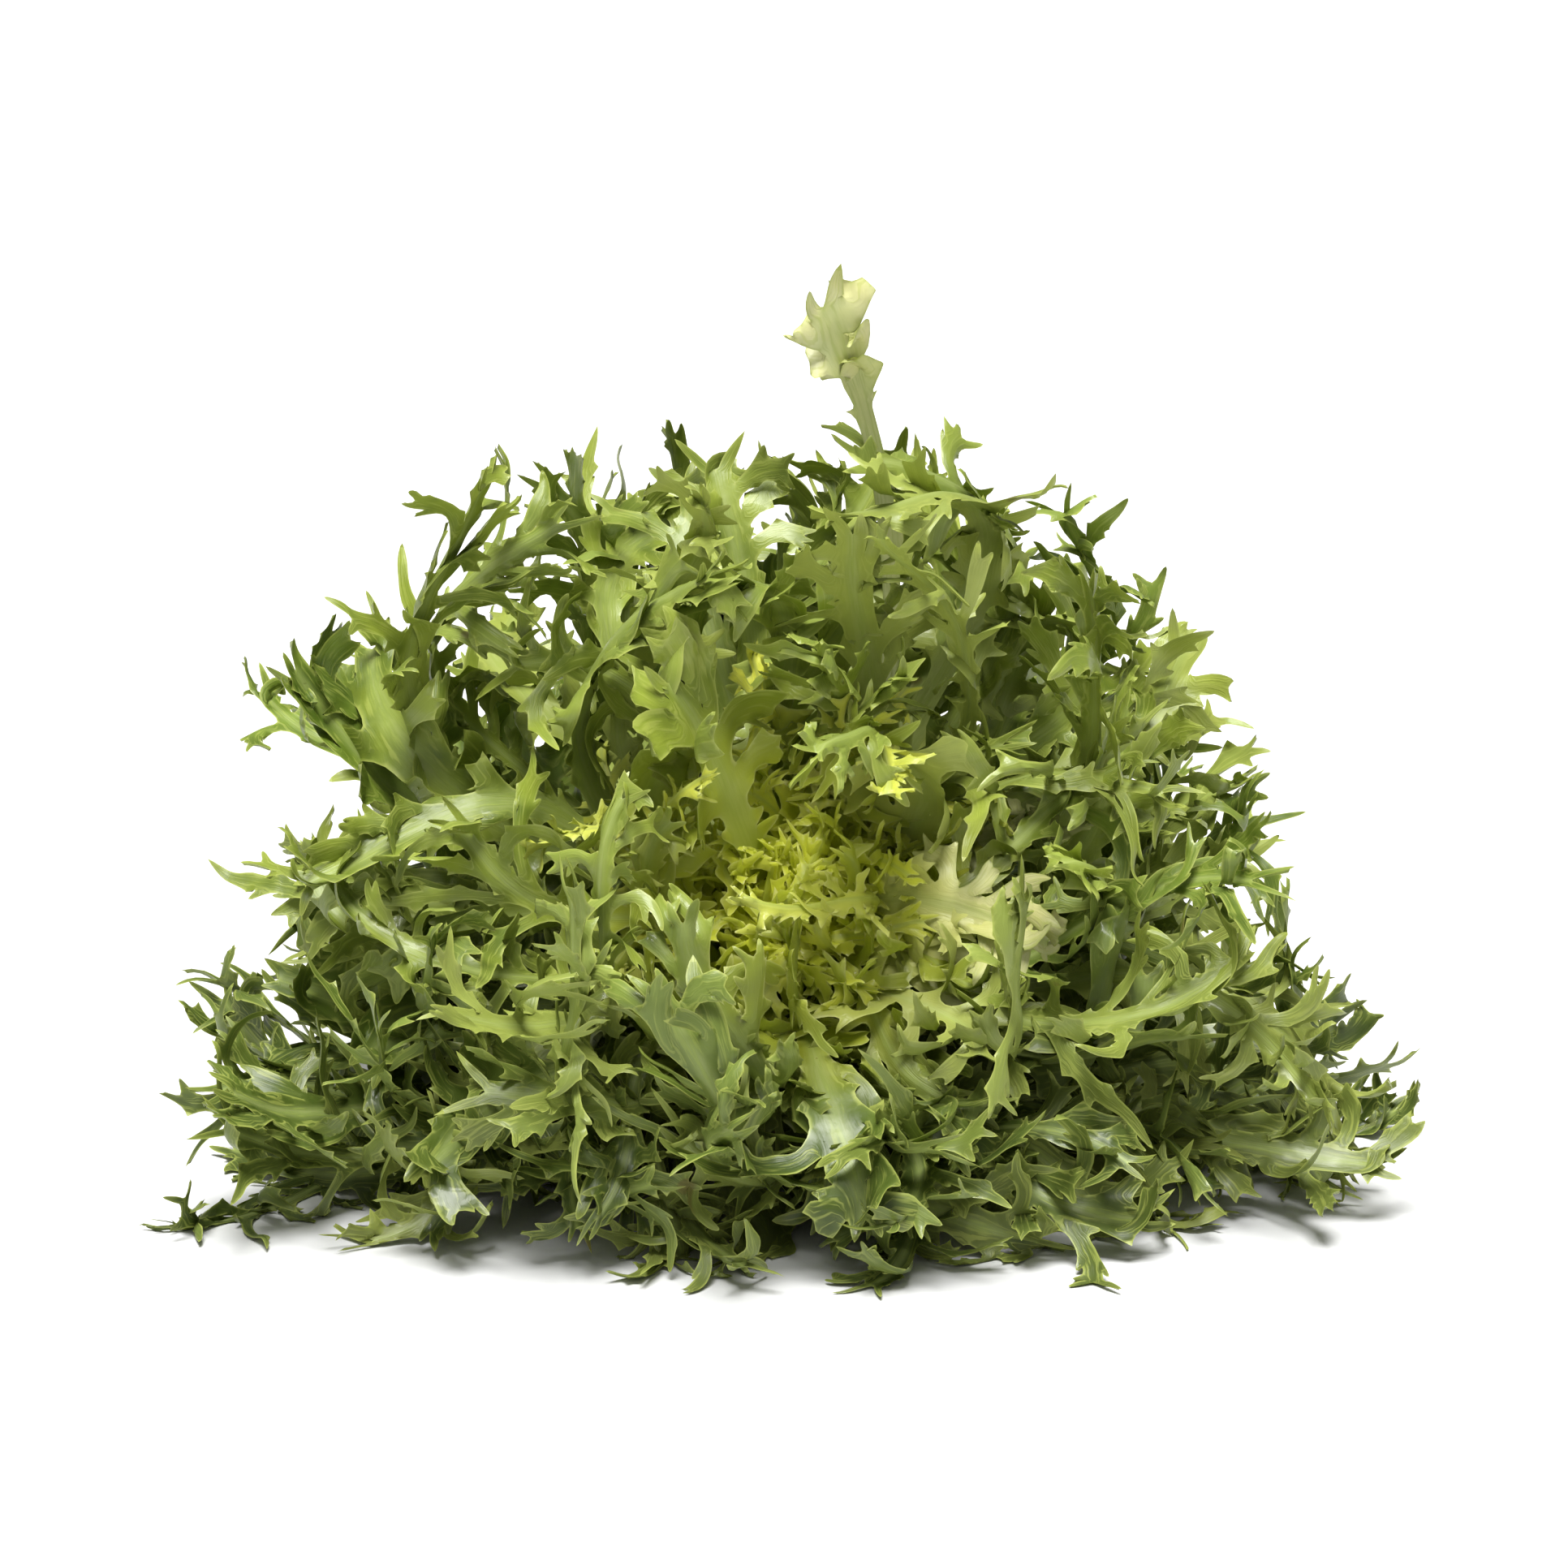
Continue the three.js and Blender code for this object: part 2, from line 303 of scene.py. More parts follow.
class Sheet:
    """A flat leaf while it grows: its points, its faces and what is painted on each point."""

    def __init__(self, chance):
        self.chance = chance
        self.tone = chance.random()
        self.points = []
        self.faces = []
        self.paint = []  # midrib, nearness to a tip and sharpness, each from 0 to 1
        self.place = []  # across from -1 to 1, millimetres along, and the leaf's tone

    def add(self, point, rib, tip, across, along, sharp=0.0):
        """Adds a point, kept above the table, and gives its number."""
        height = point.z
        if height < SOFT_HEIGHT:
            eased = math.log1p(math.exp((height - SOFT_FLOOR) / SOFTNESS))
            height = SOFTNESS * eased + LEAST_HEIGHT
        self.points.append((point.x, point.y, height))
        self.paint.append((rib, tip, sharp))
        self.place.append((across, along, self.tone))
        return len(self.points) - 1

    def at(self, number):
        """The point with that number."""
        return Vector(self.points[number])

    def spread(self, most):
        """A chance value from -most to most."""
        return self.chance.uniform(-most, most)


TOOTH_SWING = 0.5  # the most that a tooth turns aside or out of the blade
TOOTH_SHARPNESS = (0.0, 0.3, 0.7)
SHORT_FINGER = 3.6  # shorter ends are plain teeth
LONG_FINGER = 7.5  # longer ones have a row of their own
FINGER_LENGTHS = (3, 12)  # of the slimmest and the stoutest fingers
FINGER_HALVES = (0.9, 2.3)  # and their half widths
FINGER_BEND, FINGER_CURL = 0.55, 0.8
FINGER_BODY, FINGER_TIP = 0.6, 0.45  # shares of its length in its rows and in its end
FINGER_SHARPNESS = (0.0, 0.0, 0.0, 0.4)
FRINGE_FROM = 0.3  # share of a lobe without side fingers
FRINGE_TEETH = 0.35  # chance of a tooth at each row of a lobe
LOBE_BEND = 2.1  # the most that a lobe bends in its own plane
LOBE_BODY = 0.78  # share of a lobe's length before its finger or its fork
LOBE_RIPPLE = 0.35  # how far its sides stand out of its plane, as a share of its half width


def turned(vector, axis, angle):
    """The vector turned round an axis."""
    return Quaternion(axis, angle) @ vector


def side_edge(low, high, turn):
    """The edge between two rows on one side, left to right for what grows from it."""
    return (low[0], high[0]) if turn > 0 else (high[-1], low[-1])


def grow_tooth(sheet, edge, heading, up, length, along):
    """A small point on one edge of the sheet."""
    middle = (sheet.at(edge[0]) + sheet.at(edge[1])) / 2
    away = turned(heading, up, sheet.spread(TOOTH_SWING)) + up * sheet.spread(TOOTH_SWING)
    sharp = sheet.chance.choice(TOOTH_SHARPNESS)
    tip = sheet.add(middle + away.normalized() * length, 0, 1, 0, along + length, sharp)
    sheet.faces.append((*edge, tip))


def grow_finger(sheet, edge, heading, up, length, along):
    """A narrow end that grows from one edge of the sheet to a blunt or sharp tip."""
    chance = sheet.chance
    left, right = edge
    middle = (sheet.at(left) + sheet.at(right)) / 2
    half = (sheet.at(left) - sheet.at(right)).length / 2
    slim = min(half, mix(*FINGER_HALVES, blend(*FINGER_LENGTHS, length)))
    slim *= chance.uniform(0.8, 1.1)
    rows = 2 if length > LONG_FINGER else 1
    bend = sheet.spread(FINGER_BEND) / rows
    curl = sheet.spread(FINGER_CURL) / rows
    for k in range(rows):
        heading = turned(heading, up, bend)
        side = up.cross(heading).normalized()
        middle = middle + heading * (length * FINGER_BODY / rows)
        width = slim * (1.1 if k + 1 < rows else 0.85)
        tip = FINGER_BODY * ((k + 1) / rows)
        place = along + tip * length
        next_left = sheet.add(middle + side * width, 0.1, tip, 1, place)
        next_right = sheet.add(middle - side * width, 0.1, tip, -1, place)
        sheet.faces.append((left, right, next_right, next_left))
        left, right = next_left, next_right
        heading = turned(heading, side, -curl)
        up = turned(up, side, -curl)
    sharp = chance.choice(FINGER_SHARPNESS)
    tip = sheet.add(middle + heading * (length * FINGER_TIP), 0, 1, 0, along + length, sharp)
    sheet.faces.append((left, right, tip))


def grow_end(sheet, edge, heading, up, length, along):
    """A tooth or a finger, whichever suits the length."""
    grow = grow_tooth if length < SHORT_FINGER else grow_finger
    grow(sheet, edge, heading, up, length, along)


def grow_fringe(sheet, parts, cut):
    """Fingers by turns on the two sides of a lobe, with a few teeth across from them."""
    chance = sheet.chance
    way = chance.choice((1, -1))
    for low, high, ahead, above, place, grown in parts:
        if grown > FRINGE_FROM and chance.random() < cut["fingers"]:
            out = turned(ahead, above, way * chance.uniform(0.5, 1.0))
            out = turned(out, ahead, way * sheet.spread(0.6))
            reach = cut["finger"] * chance.uniform(0.5, 1.5)
            grow_end(sheet, side_edge(low, high, way), out, above, reach, place)
            way = -way
        if chance.random() < FRINGE_TEETH:
            out = turned(ahead, above, way * chance.uniform(0.8, 1.3))
            reach = chance.uniform(1.2, 2.6)
            grow_tooth(sheet, side_edge(low, high, way), out, above, reach, place)
            way = -way


def grow_lobe(sheet, row, heading, up, length, cut, along):
    """A lobe: a strap from two or three points that bends, rolls and widens into a hand."""
    chance = sheet.chance
    arm = LOBE_BODY * length
    count = max(2, round(arm / cut["pitch"]))
    step = arm / count
    curl = (cut["curl"] + sheet.spread(cut["curl_spread"])) / count
    twist = sheet.spread(cut["twist_spread"]) / count
    bend = sheet.spread(LOBE_BEND) / count
    size = chance.uniform(0.8, 1.25)
    forked = len(row) == 3 or chance.random() < cut["forked"]
    here = (sheet.at(row[0]) + sheet.at(row[-1])) / 2
    parts = []
    for k in range(count):
        grown = (k + 1) / count
        side = up.cross(heading)
        heading = turned(heading, side, -curl)
        up = turned(up, side, -curl)
        heading = turned(heading, up, bend)
        up = turned(up, heading, twist)
        side = up.cross(heading).normalized()
        here = here + heading * step
        along += step
        last = k == count - 1
        half = mix(cut["neck"], cut["hand"], blend(0.15, 0.85, grown)) * size
        half *= chance.uniform(0.88, 1.12) * (0.65 if last and not forked else 1)
        narrow = len(row) == 2 and not (last and forked)
        spots = (1, -1) if narrow else (1, 0, -1)
        next_row = tuple(
            sheet.add(
                here + side * (spot * half) + up * (abs(spot) * half * sheet.spread(LOBE_RIPPLE)),
                mix(0.6, 0.2, grown) * (1 if spot == 0 or narrow else 0.2),
                0.35 * grown,
                spot,
                along,
            )
            for spot in spots
        )
        if len(row) == len(next_row):
            for j in range(len(row) - 1):
                sheet.faces.append((row[j], row[j + 1], next_row[j + 1], next_row[j]))
        else:
            sheet.faces.append((row[0], row[1], *reversed(next_row)))
        parts.append((row, next_row, heading.copy(), up.copy(), along, grown))
        row = next_row
    grow_fringe(sheet, parts, cut)
    if not forked:
        grow_finger(sheet, row, heading, up, length * chance.uniform(0.22, 0.4), along)
        return
    for way, edge in ((1, (row[0], row[1])), (-1, (row[1], row[2]))):
        out = turned(heading, up, way * chance.uniform(0.15, 0.7))
        grow_end(sheet, edge, out, up, length * chance.uniform(0.12, 0.36), along)


FULL_TURN = 6.3  # about, in radians
STALK_ROW = 7  # about how far apart the rows of a plain stalk are
SPINE_ROW = 1.3  # how much farther apart rows are between the spines than between the lobes
SIDE_TEETH = 1.2  # angle of the teeth between the lobes
BEND_WAVES, TURN_WAVES, ROLL_WAVES = 8, 5, 7  # how fast a midrib wanders each way
BLADE_CUP = 0.28  # how far a blade's sides stand up, as a share of its half width


def spine_place(spine, distance, ahead=0.0):
    """The point of a leaf's path that far from the crown, and a little ahead along it."""
    share = (distance + ahead - LEAF_START) / (spine["length"] - LEAF_START)
    open_share = mix(spine["open"], spine["open_tip"], share * share)
    azimuth = spine["azimuth"] + spine["sway"] * share * share
    return spine_point(open_share, min(distance, spine["reach"]) + ahead, azimuth)


def midrib_stops(spine, cut):
    """How far from the crown each row of a midrib is, and where its spines and its lobes start."""
    reach = spine["length"]
    bare_end = mix(LEAF_START, reach, cut["bare"])
    fan_start = mix(LEAF_START, reach, cut["fan_from"])
    bare_rows = max(3, round((bare_end - LEAF_START) / STALK_ROW)) - 1
    spine_rows = max(2, round((fan_start - bare_end) / (cut["row"] * SPINE_ROW)))
    lobe_rows = max(4, round((reach - fan_start) / cut["row"]))
    stops = list(np.linspace(LEAF_START, bare_end, bare_rows + 1))
    stops += list(np.linspace(bare_end, fan_start, spine_rows + 1))[1:]
    stops += list(np.linspace(fan_start, reach, lobe_rows + 1))[1:]
    return stops, bare_rows, bare_rows + spine_rows


def midrib_rows(sheet, spine, cut, stops):
    """The rows of a midrib, each with its heading, its upward side and its share of the way."""
    chance = sheet.chance
    rows = []
    wander = spine["wander"]
    roll = sheet.spread(0.9) * wander
    swing, ripple = chance.uniform(0, FULL_TURN), chance.uniform(0, FULL_TURN)
    here = spine_place(spine, stops[0])
    for k, distance in enumerate(stops):
        along = (distance - LEAF_START) / (spine["length"] - LEAF_START)
        ahead = spine_place(spine, distance, 1.0)
        heading = (ahead - spine_place(spine, distance, -1.0)).normalized()
        radial = (ahead - CROWN).normalized()
        inward = HEART_AXIS - radial * HEART_AXIS.dot(radial)
        up = (inward - heading * inward.dot(heading)).normalized()
        side = up.cross(heading)
        tip_bend = spine["droop"] * blend(spine["droop_from"], 1, along)
        tip_bend += 0.4 * wander * math.sin(ripple + BEND_WAVES * along) * along
        heading = turned(heading, side, tip_bend)
        up = turned(up, side, tip_bend)
        heading = turned(heading, up, wander * math.sin(swing + along * TURN_WAVES) * along)
        rolling = roll + 0.4 * wander * math.sin(swing * 2 + along * ROLL_WAVES)
        rolled = spine["lean"] + rolling * along
        up = turned(up, heading, rolled)
        side = up.cross(heading).normalized()
        if k:
            here = here + heading * (distance - stops[k - 1])
        stalk = cut["rib"] * mix(1.15, cut["slim"], blend(0, 0.6, along))
        wing = cut["wing"] * blend(cut["wing_from"], cut["wing_full"], along)
        wing *= mix(1, 0.5, blend(0.85, 1, along))
        half = stalk + wing * chance.uniform(0.7, 1.2)
        side_rib = 0.95 * (1 - blend(cut["bare"], cut["bare"] + 0.45, along))
        cup = BLADE_CUP * half
        row = (
            sheet.add(here + side * half + up * cup, side_rib, 0.1 * along, 1, distance),
            sheet.add(here, 1, 0, 0, distance),
            sheet.add(here - side * half + up * cup, side_rib, 0.1 * along, -1, distance),
        )
        if rows:
            last = rows[-1][0]
            sheet.faces.append((last[0], last[1], row[1], row[0]))
            sheet.faces.append((last[1], last[2], row[2], row[1]))
        rows.append((row, heading, up, along, distance))
    return rows


def grow_side(sheet, rows, first, fan_row, turn, cut):
    """The spines and lobes on one side of a leaf."""
    chance = sheet.chance
    k = first + (turn < 0)
    while k + 1 < len(rows):
        row, heading, up, along, distance = rows[k + 1]
        tilt = cut["lift"] + sheet.spread(cut["lift_spread"])
        if k < fan_row:
            out = turned(heading, up, turn * chance.uniform(0.9, 1.4))
            out = turned(out, heading, turn * tilt)
            edge = side_edge(rows[k][0], row, turn)
            grow_end(sheet, edge, out, up, chance.uniform(0.12, 0.36) * cut["length"], distance)
            k += 1 + (chance.random() < 0.6)
            continue
        wide = 2 if chance.random() < cut["broad"] and k + 2 < len(rows) else 1
        points = tuple(rows[k + j][0][0 if turn > 0 else 2] for j in range(wide + 1))
        root = points if turn > 0 else tuple(reversed(points))
        full = mix(0.5, 1, blend(cut["fan_from"], cut["fan_from"] + 0.25, along))
        full *= mix(1, 0.6, blend(0.85, 1, along))
        length = cut["length"] * full * chance.uniform(0.6, 1.25)
        sweep = cut["sweep"] * mix(1.25, 0.5, blend(0.4, 1, along)) + sheet.spread(0.25)
        out = turned(turned(heading, up, turn * sweep), heading, turn * tilt)
        grow_lobe(sheet, root, out, turned(up, heading, turn * tilt), length, cut, distance)
        k += wide
        for _ in range(int(cut["gap"] + chance.random())):
            if k + 1 < len(rows) and chance.random() < 0.4:
                edge = side_edge(rows[k][0], rows[k + 1][0], turn)
                aside = turned(heading, up, turn * SIDE_TEETH)
                grow_tooth(sheet, edge, aside, up, chance.uniform(1.5, 3.5), distance)
            k += 1


def grow_leaf(spine, cut, seed):
    """A whole leaf as a sheet: its midrib from the crown to the tip, its spines and its lobes."""
    chance = Random(seed)
    sheet = Sheet(chance)
    stops, bare_rows, fan_row = midrib_stops(spine, cut)
    rows = midrib_rows(sheet, spine, cut, stops)
    for k in range(1, bare_rows):
        for turn in (1, -1):
            if chance.random() < cut["teeth"]:
                _, heading, up, _, distance = rows[k]
                aside = turned(heading, up, turn * SIDE_TEETH)
                edge = side_edge(rows[k][0], rows[k + 1][0], turn)
                grow_tooth(sheet, edge, aside, up, chance.uniform(2, 4), distance)
    for turn in (1, -1):
        grow_side(sheet, rows, bare_rows, fan_row, turn, cut)
    row, heading, up, _, distance = rows[-1]
    for turn, edge in ((1, (row[0], row[1])), (-1, (row[1], row[2]))):
        out = turned(heading, up, turn * chance.uniform(0.2, 0.5))
        grow_end(sheet, edge, out, up, cut["length"] * chance.uniform(0.3, 0.6), distance)
    return sheet


FITS = 4  # how often a leaf is grown again to fit
CLOSE_ENOUGH = 2
LONGEST = 1.35  # of a leaf's path, as a share of its reach
SMOOTH_LEVELS = 1


def rim_limits(points, distances):
    """How far the head reaches in the direction of each point, seen from the crown."""
    limits = np.full(len(points), float(RIM_REACH))
    for towards, width, longer in LUMPS:
        away = np.arccos(np.clip(points @ Vector(towards).normalized() / distances, -1, 1))
        share = np.clip(away / math.radians(width), 0, 1)
        limits += longer * (1 - share * share * (3 - 2 * share))
    return limits


def fitted_leaf(spine, cut, seed):
    """A leaf whose farthest point is at its reach, or near the outline where it bends."""
    spine = {**spine, "length": spine["reach"]}
    for _ in range(FITS):
        sheet = grow_leaf(spine, cut, seed)
        points = np.array(sheet.points) - np.array(CROWN)
        distances = np.linalg.norm(points, axis=1)
        room = (rim_limits(points, distances) + BEND_ROOM - distances).min()
        longer = min(spine["reach"] - distances.max(), room)
        if abs(longer) < CLOSE_ENOUGH:
            break
        spine["length"] += min(0.8 * longer, LONGEST * spine["reach"] - spine["length"])
    return sheet


def set_layer(mesh, name, kind, key, values):
    """Gives each point of a mesh its values, under a name that the materials read."""
    layer = mesh.attributes.new(name, kind, "POINT")
    layer.data.foreach_set(key, values.astype(np.float32).ravel())


def smoothed(sheet, name):
    """The sheet as a subdivided mesh, with its paint."""
    mesh = bpy.data.meshes.new(name)
    mesh.from_pydata(sheet.points, [], sheet.faces)
    paint = np.array(sheet.paint, np.float32)
    set_layer(mesh, "crease_vert", "FLOAT", "value", paint[:, 2])
    set_layer(mesh, "leaf_paint", "FLOAT_VECTOR", "vector", paint)
    set_layer(mesh, "leaf_place", "FLOAT_VECTOR", "vector", np.array(sheet.place, np.float32))
    draft = bpy.data.objects.new(name, mesh)
    bpy.context.scene.collection.objects.link(draft)
    smooth = draft.modifiers.new("smooth", "SUBSURF")
    smooth.levels = SMOOTH_LEVELS
    smooth.render_levels = SMOOTH_LEVELS
    graph = bpy.context.evaluated_depsgraph_get()
    fine = bpy.data.meshes.new_from_object(draft.evaluated_get(graph), depsgraph=graph)
    bpy.data.objects.remove(draft)
    bpy.data.meshes.remove(mesh)
    return fine


def read(values, key, width, kind=np.float32):
    """A Blender collection's values as rows of numbers."""
    flat = np.empty(len(values) * width, kind)
    values.foreach_get(key, flat)
    return flat.reshape(-1, width) if width > 1 else flat


RIB_ABOVE, RIB_BELOW = 0.5, 1.3  # how far a midrib stands out of its blade on each side
RIB_LENGTH = 150  # over which most of that fades
CRINKLE, CRINKLE_PITCH = 0.6, 0.16
GUTTER, GUTTER_PITCH = 0.5, 0.05  # how deep a blade sinks between its margins
GUTTER_SHIFT = Vector((7, 7, 7))
HEART_FADE = 100  # from the blanched heart's middle to where a leaf is fully green
UNDER_GAP = 0.05  # the least that an underside stays above the table
SHARP_EDGE = math.radians(75)


def rim_points(corners, count):
    """Which of a mesh's points are on its open edge."""
    edges = np.sort(np.stack([corners, np.roll(corners, -1, axis=1)], -1).reshape(-1, 2), axis=1)
    keys = edges[:, 0].astype(np.int64) * count + edges[:, 1]
    _, first, uses = np.unique(keys, return_index=True, return_counts=True)
    rim = np.zeros(count, bool)
    rim[edges[first[uses == 1]].ravel()] = True
    return rim


def thickened(fine, name):
    """A closed skin round a sheet: thick along its midrib and thin at its margin."""
    points = read(fine.vertices, "co", 3)
    normals = read(fine.vertex_normals, "vector", 3)
    paint = read(fine.attributes["leaf_paint"].data, "vector", 3)
    place = read(fine.attributes["leaf_place"].data, "vector", 3)
    corners = read(fine.loops, "vertex_index", 1, np.int32).reshape(-1, 4)
    inside = ~rim_points(corners, len(points))
    under = np.arange(len(points))
    under[inside] = len(points) + np.arange(inside.sum())
    waves = [noise.noise(Vector(point) * CRINKLE_PITCH) for point in points]
    crinkle = CRINKLE * np.array(waves, np.float32) * (1 - paint[:, 0])
    bends = [noise.noise(Vector(point) * GUTTER_PITCH + GUTTER_SHIFT) for point in points]
    gutter = GUTTER * inside * (np.array(bends, np.float32) * 2.5 - 0.5)
    points = points + normals * (crinkle + gutter)[:, None]
    flesh = paint[:, 0] ** 2 * (1 - 0.7 * np.clip(place[:, 1] / RIB_LENGTH, 0, 1))
    blade_half = bpy.context.scene.endive_sizes.blade_thickness / MM / 2
    above = (blade_half + RIB_ABOVE * flesh) * inside
    below = (blade_half + RIB_BELOW * flesh) * inside
    top = points + normals * above[:, None]
    bottom = (points - normals * below[:, None])[inside]
    bottom[:, 2] = np.maximum(bottom[:, 2], UNDER_GAP)
    top[:, 2] = np.maximum(top[:, 2], UNDER_GAP)
    skin = bpy.data.meshes.new(name)
    faces = np.concatenate([corners, under[corners][:, ::-1]])
    skin.from_pydata((np.concatenate([top, bottom]) * MM).tolist(), [], faces.tolist())
    from_heart = np.linalg.norm(points - np.array(CROWN + HEART_AXIS * HEART_DEPTH), axis=1)
    tips = paint[:, 1]
    side = np.where(inside, 0.0, 0.5)
    paint = np.stack([paint[:, 0], np.clip(from_heart / HEART_FADE, 0, 1), ~inside, side], axis=1)
    beneath = paint[inside] + np.array((0, 0, 0, 1))
    set_layer(skin, "leaf_paint", "FLOAT_COLOR", "color", np.concatenate([paint, beneath]))
    set_layer(skin, "leaf_place", "FLOAT_VECTOR", "vector", np.concatenate([place, place[inside]]))
    set_layer(skin, "leaf_tip", "FLOAT", "value", np.concatenate([tips, tips[inside]]))
    skin.shade_smooth()
    skin.set_sharp_from_angle(angle=SHARP_EDGE)
    bpy.data.meshes.remove(fine)
    return skin


def add_leaf(name, sheet, finish, slot_name, *nodes):
    """Makes the piece of one leaf, which rides on the head and may stand for its solid."""
    leaf = bpy.data.objects.new(name, thickened(smoothed(sheet, name), name))
    bpy.context.scene.collection.objects.link(leaf)
    leaf.data.materials.append(leaf_finish(finish))
    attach(leaf, BODY)
    if nodes:
        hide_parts(*nodes)


def full_reach(open_share, azimuth):
    """How far a leaf reaches: short in the heart, and then by the lumps of the head."""
    tip_angle = leaf_angle(open_share, RIM_REACH, azimuth)
    tip = spine_point(open_share, RIM_REACH, azimuth) - CROWN
    reach = RIM_REACH
    for towards, width, longer in LUMPS:
        reach += longer * (1 - blend(0, math.radians(width), tip.angle(Vector(towards))))
    return mix(HEART_REACH, reach, blend(HOLLOW_FROM, HOLLOW_TO, tip_angle))


def tip_droop(chance, open_share):
    """How far a tip bends over: outwards, or back over the heart."""
    if open_share > OPEN_LOW:
        return chance.uniform(-1.0, 0.3)
    if chance.random() < mix(0.5, 0.1, open_share):
        return -chance.uniform(0.3, 0.8 if open_share < 0.25 else 1.8)
    return chance.uniform(0.3, mix(1.9, 1.2, open_share))


def make_spine(open_share, azimuth, reach, **others):
    """A leaf's path: how it opens, turns, reaches, bends over, rolls and wanders."""
    spine = {
        "open": open_share,
        "open_tip": open_share,
        "azimuth": azimuth,
        "sway": 0.0,
        "reach": reach,
        "droop": 0.0,
        "droop_from": 0.35,
        "lean": 0.0,
        "wander": 0.8,
    }
    return {**spine, **others}


def grow_tier(name):
    """The leaves that stand for one circle of solids."""
    open_share, count, turn, cuts, slot_name = TIERS[name]
    tier = list(TIERS).index(name)
    for number in range(1, count + 1):
        seed = TIER_SEEDS * tier + number
        node = f"{name}_{number}"
        azimuth = math.radians(turn + (number - 1) * 360 / count + 2 * wobble(seed))
        reach, aside, sway = STRAYS.get(node, (None, 0, 2 * wobble(seed + 0.6)))
        if reach is None:
            reach = full_reach(open_share, azimuth) + 5 * wobble(seed + 0.3)
        chance = Random(seed)
        spine = make_spine(
            open_share,
            azimuth + math.radians(aside),
            reach,
            sway=math.radians(sway),
            droop=tip_droop(chance, open_share),
            lean=chance.uniform(-0.4, 0.4),
        )
        if name == "heart_leaf":
            spine["droop"] = -chance.uniform(0.9, 1.8)
        cut = chance.choice(cuts)
        finish = slot_name
        if node == STRAY_LEAF:
            spine.update(droop=STRAY_DROOP, droop_from=0.7, lean=0.5, wander=0.1)
            cut, finish = STRAY, "pale_leaf"
        elif slot_name == "inner_leaf" and math.cos(azimuth) < WALL_FROM:
            cut = chance.choice(WALL_CUTS)
        if node in STRAYS and open_share > OPEN_LOW:
            spine.update(droop=FLAT_DROOP, lean=0.0)
        add_leaf(f"{node}_blade", fitted_leaf(spine, cut, seed), finish, slot_name, node)


def grow_spiral(name):
    """The leaves of one spiral between those of the solids."""
    count, widest, turn, share = SPIRALS[name]
    for k in range(count):
        seed = SPIRAL_SEEDS * (1 + list(SPIRALS).index(name)) + k
        chance = Random(seed)
        azimuth = turn + k * GOLDEN_ANGLE + chance.uniform(-0.1, 0.1)
        angle = math.acos(1 - (k + 0.5) / count * (1 - math.cos(widest)))
        angle += chance.uniform(-0.06, 0.06)
        open_share = abs(angle / table_angle(RIM_REACH, azimuth)) ** (1 / ARCHED_AT_TIP)
        backward = math.cos(azimuth)
        hidden = name == "frill" and backward < BEHIND and open_share > OPEN_OUTER
        if open_share > OPEN_LAST or (hidden and k % THINNED_BEHIND == 0):
            continue
        slot_name, cuts = "outer_leaf", OUTER_CUTS
        if open_share < OPEN_INNER:
            slot_name, cuts = "heart_leaf", HEART_CUTS
        elif open_share < OPEN_OUTER:
            slot_name, cuts = "inner_leaf", WALL_CUTS if backward < WALL_FROM else INNER_CUTS
        if name == "fill":
            cuts = FILL_CUTS
        spine = make_spine(
            open_share,
            azimuth,
            share * full_reach(open_share, azimuth) + chance.uniform(-8, 4),
            open_tip=max(0.01, open_share + chance.uniform(-0.06, 0.06)),
            sway=math.radians(chance.uniform(-14, 14)),
            droop=tip_droop(chance, open_share),
            lean=chance.uniform(-0.5, 0.5),
        )
        sheet = fitted_leaf(spine, chance.choice(cuts), seed)
        add_leaf(f"{name}_{k + 1}", sheet, slot_name, slot_name)


def grow_heart_frills():
    """The fringes that lie across the heart from both sides."""
    for k in range(HEART_FRILLS):
        seed = HEART_SEEDS + k
        chance = Random(seed)
        flank = math.pi / 2 if k % 2 else -math.pi / 2
        open_share = chance.uniform(*HEART_FRILL_OPEN)
        spine = make_spine(
            open_share,
            flank + chance.uniform(-HEART_FRILL_SPREAD, HEART_FRILL_SPREAD),
            HEART_REACH + chance.uniform(-16, 4),
            sway=chance.uniform(-0.5, 0.5),
            droop=chance.choice((-1, -1, 1)) * chance.uniform(0.7, 1.9),
            lean=chance.uniform(-0.5, 0.5),
        )
        sheet = fitted_leaf(spine, HEART, seed)
        add_leaf(f"heart_frill_{k + 1}", sheet, "heart_leaf", "heart_leaf")


def grow_show_leaves():
    """The broad and pale leaves on top."""
    for number, (name, values) in enumerate(SHOW_LEAVES.items()):
        open_share, open_tip, azimuth, sway, reach, droop, lean, cut, finish = values
        spine = make_spine(
            open_share,
            math.radians(azimuth),
            reach,
            open_tip=open_tip,
            sway=math.radians(sway),
            droop=droop,
            lean=lean,
            wander=0.3,
        )
        slot_name = "heart_leaf" if finish == "pale_leaf" else finish
        add_leaf(name, fitted_leaf(spine, cut, SHOW_SEEDS + number), finish, slot_name)


# --- Cut stem -------------------------------------------------------------------------------

STEM_SIDES = 96
CUT_RADIUS = 13.4
